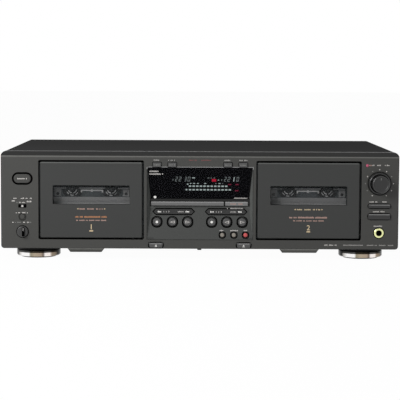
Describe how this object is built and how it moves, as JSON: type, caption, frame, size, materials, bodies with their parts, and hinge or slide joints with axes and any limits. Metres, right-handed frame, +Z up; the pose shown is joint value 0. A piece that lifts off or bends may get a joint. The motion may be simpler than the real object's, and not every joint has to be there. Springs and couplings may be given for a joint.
{
  "type": "cassette duplicator",
  "caption": "Cassette duplicator deck with hinged cassette doors, a sunken centre console of keys under a display, a level knob, rear sockets and round ringed feet.",
  "frame": {"origin": "under the middle of the whole object, on the surface it stands on", "axes": "+X to the viewer's right, +Y from the front panel to the rear, +Z up"},
  "size_m": [0.43, 0.29, 0.1171],
  "materials": {
    "panel_plastic": "fine satin grain",
    "console_plastic": "fine satin grain",
    "door_plastic": "fine satin grain",
    "smoked_window": "smoked clear",
    "display_glass": "black gloss",
    "circuit_board": "solder mask",
    "key_plastic": "satin",
    "bar_plastic": "satin",
    "pale_key_plastic": "satin",
    "red_key_plastic": "satin",
    "knob_plastic": "satin",
    "lamp_plastic": "clear red",
    "plated_brass": "gold plated",
    "holder_plastic": "black",
    "mechanism_steel": "zinc plated",
    "reel_plastic": "moulded",
    "capstan_steel": "ground and turned",
    "motor_steel": "drawn can",
    "cover_steel": "fine texture paint",
    "chassis_steel": "zinc plated",
    "rear_steel": "satin paint",
    "socket_plastic": "black",
    "gland_rubber": "matte",
    "transformer_steel": "varnished laminations",
    "foot_plastic": "black",
    "foot_metal": "bright champagne"
  },
  "bodies": {
    "root": {"front_panel": "panel_plastic", "centre_console": "console_plastic", "display_window": "display_glass", "control_boards": "circuit_board", "record_lamp": "lamp_plastic", "phones_jack": "plated_brass", "drive_motors": "motor_steel", "top_cover": "cover_steel", "bottom_chassis": "chassis_steel", "rear_panel": "rear_steel", "phono_sockets": "socket_plastic", "cord_gland": "gland_rubber", "main_board": "circuit_board", "power_transformer": "transformer_steel", "feet": "foot_plastic", "foot_rings": "foot_metal", "left_mechanism_frame": "mechanism_steel", "right_mechanism_frame": "mechanism_steel"},
    "left_door": {"left_door": "door_plastic", "left_door_window": "smoked_window", "left_cassette_holder": "holder_plastic"},
    "left_head_bridge": {"left_head_bridge": "mechanism_steel"},
    "left_supply_reel": {"left_supply_reel": "reel_plastic"},
    "left_takeup_reel": {"left_takeup_reel": "reel_plastic"},
    "left_forward_capstan": {"left_forward_capstan": "capstan_steel"},
    "left_reverse_capstan": {"left_reverse_capstan": "capstan_steel"},
    "right_door": {"right_door": "door_plastic", "right_door_window": "smoked_window", "right_cassette_holder": "holder_plastic"},
    "right_head_bridge": {"right_head_bridge": "mechanism_steel"},
    "right_supply_reel": {"right_supply_reel": "reel_plastic"},
    "right_takeup_reel": {"right_takeup_reel": "reel_plastic"},
    "right_forward_capstan": {"right_forward_capstan": "capstan_steel"},
    "right_reverse_capstan": {"right_reverse_capstan": "capstan_steel"},
    "left_stop_button": {"left_stop_button": "key_plastic"},
    "left_reverse_button": {"left_reverse_button": "key_plastic"},
    "left_play_button": {"left_play_button": "key_plastic"},
    "left_eject_button": {"left_eject_button": "key_plastic"},
    "right_stop_button": {"right_stop_button": "key_plastic"},
    "right_reverse_button": {"right_reverse_button": "key_plastic"},
    "right_play_button": {"right_play_button": "key_plastic"},
    "right_eject_button": {"right_eject_button": "key_plastic"},
    "pause_button": {"pause_button": "pale_key_plastic"},
    "record_mute_button": {"record_mute_button": "pale_key_plastic"},
    "record_button": {"record_button": "red_key_plastic"},
    "counter_reset_button": {"counter_reset_button": "key_plastic"},
    "display_mode_button": {"display_mode_button": "key_plastic"},
    "counter_memory_button": {"counter_memory_button": "key_plastic"},
    "auto_space_button": {"auto_space_button": "key_plastic"},
    "dubbing_bar": {"dubbing_bar": "bar_plastic"},
    "dubbing_speed_button": {"dubbing_speed_button": "bar_plastic"},
    "noise_reduction_button": {"noise_reduction_button": "bar_plastic"},
    "relay_play_button": {"relay_play_button": "key_plastic"},
    "power_button": {"power_button": "key_plastic"},
    "pitch_button": {"pitch_button": "key_plastic"},
    "left_search_rocker": {"left_search_rocker": "key_plastic"},
    "right_search_rocker": {"right_search_rocker": "key_plastic"},
    "timer_switch": {"timer_switch": "bar_plastic"},
    "pitch_knob": {"pitch_knob": "knob_plastic"},
    "record_level_knob": {"record_level_knob": "knob_plastic"}
  },
  "joints": [
    {"name": "left_door_hinge", "type": "hinge", "parent": "root", "child": "left_door", "pos_m": [-0.1174, -0.125, 0.0275], "axis": [1, 0, 0], "range_deg": [0, 25]},
    {"name": "left_bridge_slide", "type": "slide", "parent": "root", "child": "left_head_bridge", "axis": [0, 0, 1], "range_m": [0, 0.008]},
    {"name": "left_supply_reel_spin", "type": "hinge", "parent": "root", "child": "left_supply_reel", "pos_m": [-0.13865, -0.113, 0.0755], "axis": [0, 1, 0], "continuous": true},
    {"name": "left_takeup_reel_spin", "type": "hinge", "parent": "root", "child": "left_takeup_reel", "pos_m": [-0.09615, -0.113, 0.0755], "axis": [0, 1, 0], "continuous": true},
    {"name": "left_forward_capstan_spin", "type": "hinge", "parent": "root", "child": "left_forward_capstan", "pos_m": [-0.0944, -0.113, 0.0426], "axis": [0, 1, 0], "continuous": true},
    {"name": "left_reverse_capstan_spin", "type": "hinge", "parent": "root", "child": "left_reverse_capstan", "pos_m": [-0.1404, -0.113, 0.0426], "axis": [0, 1, 0], "continuous": true},
    {"name": "right_door_hinge", "type": "hinge", "parent": "root", "child": "right_door", "pos_m": [0.1174, -0.125, 0.0275], "axis": [1, 0, 0], "range_deg": [0, 25]},
    {"name": "right_bridge_slide", "type": "slide", "parent": "root", "child": "right_head_bridge", "axis": [0, 0, 1], "range_m": [0, 0.008]},
    {"name": "right_supply_reel_spin", "type": "hinge", "parent": "root", "child": "right_supply_reel", "pos_m": [0.09615, -0.113, 0.0755], "axis": [0, 1, 0], "continuous": true},
    {"name": "right_takeup_reel_spin", "type": "hinge", "parent": "root", "child": "right_takeup_reel", "pos_m": [0.13865, -0.113, 0.0755], "axis": [0, 1, 0], "continuous": true},
    {"name": "right_forward_capstan_spin", "type": "hinge", "parent": "root", "child": "right_forward_capstan", "pos_m": [0.1404, -0.113, 0.0426], "axis": [0, 1, 0], "continuous": true},
    {"name": "right_reverse_capstan_spin", "type": "hinge", "parent": "root", "child": "right_reverse_capstan", "pos_m": [0.0944, -0.113, 0.0426], "axis": [0, 1, 0], "continuous": true},
    {"name": "left_stop_button_press", "type": "slide", "parent": "root", "child": "left_stop_button", "axis": [0, 1, 0], "range_m": [0, 0.0012], "stiffness_N_per_m": 300},
    {"name": "left_reverse_button_press", "type": "slide", "parent": "root", "child": "left_reverse_button", "axis": [0, 1, 0], "range_m": [0, 0.0012], "stiffness_N_per_m": 300},
    {"name": "left_play_button_press", "type": "slide", "parent": "root", "child": "left_play_button", "axis": [0, 1, 0], "range_m": [0, 0.0012], "stiffness_N_per_m": 300},
    {"name": "left_eject_button_press", "type": "slide", "parent": "root", "child": "left_eject_button", "axis": [0, 1, 0], "range_m": [0, 0.002], "stiffness_N_per_m": 300},
    {"name": "right_stop_button_press", "type": "slide", "parent": "root", "child": "right_stop_button", "axis": [0, 1, 0], "range_m": [0, 0.0012], "stiffness_N_per_m": 300},
    {"name": "right_reverse_button_press", "type": "slide", "parent": "root", "child": "right_reverse_button", "axis": [0, 1, 0], "range_m": [0, 0.0012], "stiffness_N_per_m": 300},
    {"name": "right_play_button_press", "type": "slide", "parent": "root", "child": "right_play_button", "axis": [0, 1, 0], "range_m": [0, 0.0012], "stiffness_N_per_m": 300},
    {"name": "right_eject_button_press", "type": "slide", "parent": "root", "child": "right_eject_button", "axis": [0, 1, 0], "range_m": [0, 0.002], "stiffness_N_per_m": 300},
    {"name": "pause_button_press", "type": "slide", "parent": "root", "child": "pause_button", "axis": [0, 1, 0], "range_m": [0, 0.0012], "stiffness_N_per_m": 300},
    {"name": "record_mute_button_press", "type": "slide", "parent": "root", "child": "record_mute_button", "axis": [0, 1, 0], "range_m": [0, 0.0012], "stiffness_N_per_m": 300},
    {"name": "record_button_press", "type": "slide", "parent": "root", "child": "record_button", "axis": [0, 1, 0], "range_m": [0, 0.0012], "stiffness_N_per_m": 300},
    {"name": "counter_reset_button_press", "type": "slide", "parent": "root", "child": "counter_reset_button", "axis": [0, 1, 0], "range_m": [0, 0.0012], "stiffness_N_per_m": 300},
    {"name": "display_mode_button_press", "type": "slide", "parent": "root", "child": "display_mode_button", "axis": [0, 1, 0], "range_m": [0, 0.0012], "stiffness_N_per_m": 300},
    {"name": "counter_memory_button_press", "type": "slide", "parent": "root", "child": "counter_memory_button", "axis": [0, 1, 0], "range_m": [0, 0.0012], "stiffness_N_per_m": 300},
    {"name": "auto_space_button_press", "type": "slide", "parent": "root", "child": "auto_space_button", "axis": [0, 1, 0], "range_m": [0, 0.0012], "stiffness_N_per_m": 300},
    {"name": "dubbing_bar_press", "type": "slide", "parent": "root", "child": "dubbing_bar", "axis": [0, 1, 0], "range_m": [0, 0.0012], "stiffness_N_per_m": 300},
    {"name": "dubbing_speed_button_press", "type": "slide", "parent": "root", "child": "dubbing_speed_button", "axis": [0, 1, 0], "range_m": [0, 0.0012], "stiffness_N_per_m": 300},
    {"name": "noise_reduction_button_press", "type": "slide", "parent": "root", "child": "noise_reduction_button", "axis": [0, 1, 0], "range_m": [0, 0.0012], "stiffness_N_per_m": 300},
    {"name": "relay_play_button_press", "type": "slide", "parent": "root", "child": "relay_play_button", "axis": [0, 1, 0], "range_m": [0, 0.0012], "stiffness_N_per_m": 300},
    {"name": "power_button_press", "type": "slide", "parent": "root", "child": "power_button", "axis": [0, 1, 0], "range_m": [0, 0.003], "stiffness_N_per_m": 300},
    {"name": "pitch_button_press", "type": "slide", "parent": "root", "child": "pitch_button", "axis": [0, 1, 0], "range_m": [0, 0.0012], "stiffness_N_per_m": 300},
    {"name": "left_search_rocker_tip", "type": "hinge", "parent": "root", "child": "left_search_rocker", "pos_m": [-0.0284, -0.12154, 0.0521], "axis": [0, 0, 1], "range_deg": [-1.5, 1.5], "stiffness_Nm_per_rad": 0.5},
    {"name": "right_search_rocker_tip", "type": "hinge", "parent": "root", "child": "right_search_rocker", "pos_m": [0.0284, -0.12154, 0.0521], "axis": [0, 0, 1], "range_deg": [-1.5, 1.5], "stiffness_Nm_per_rad": 0.5},
    {"name": "timer_switch_slide", "type": "slide", "parent": "root", "child": "timer_switch", "axis": [1, 0, 0], "range_m": [-0.0024, 0.0024]},
    {"name": "pitch_knob_turn", "type": "hinge", "parent": "root", "child": "pitch_knob", "pos_m": [-0.1916, -0.13, 0.0301], "axis": [0, 1, 0], "range_deg": [-135, 135]},
    {"name": "record_level_knob_turn", "type": "hinge", "parent": "root", "child": "record_level_knob", "pos_m": [0.1936, -0.13, 0.0838], "axis": [0, 1, 0], "range_deg": [-150, 150]}
  ],
  "couplings": [
    {"joint": "left_reverse_capstan_spin", "follows": "left_forward_capstan_spin", "ratio": -1},
    {"joint": "right_reverse_capstan_spin", "follows": "right_forward_capstan_spin", "ratio": -1}
  ]
}
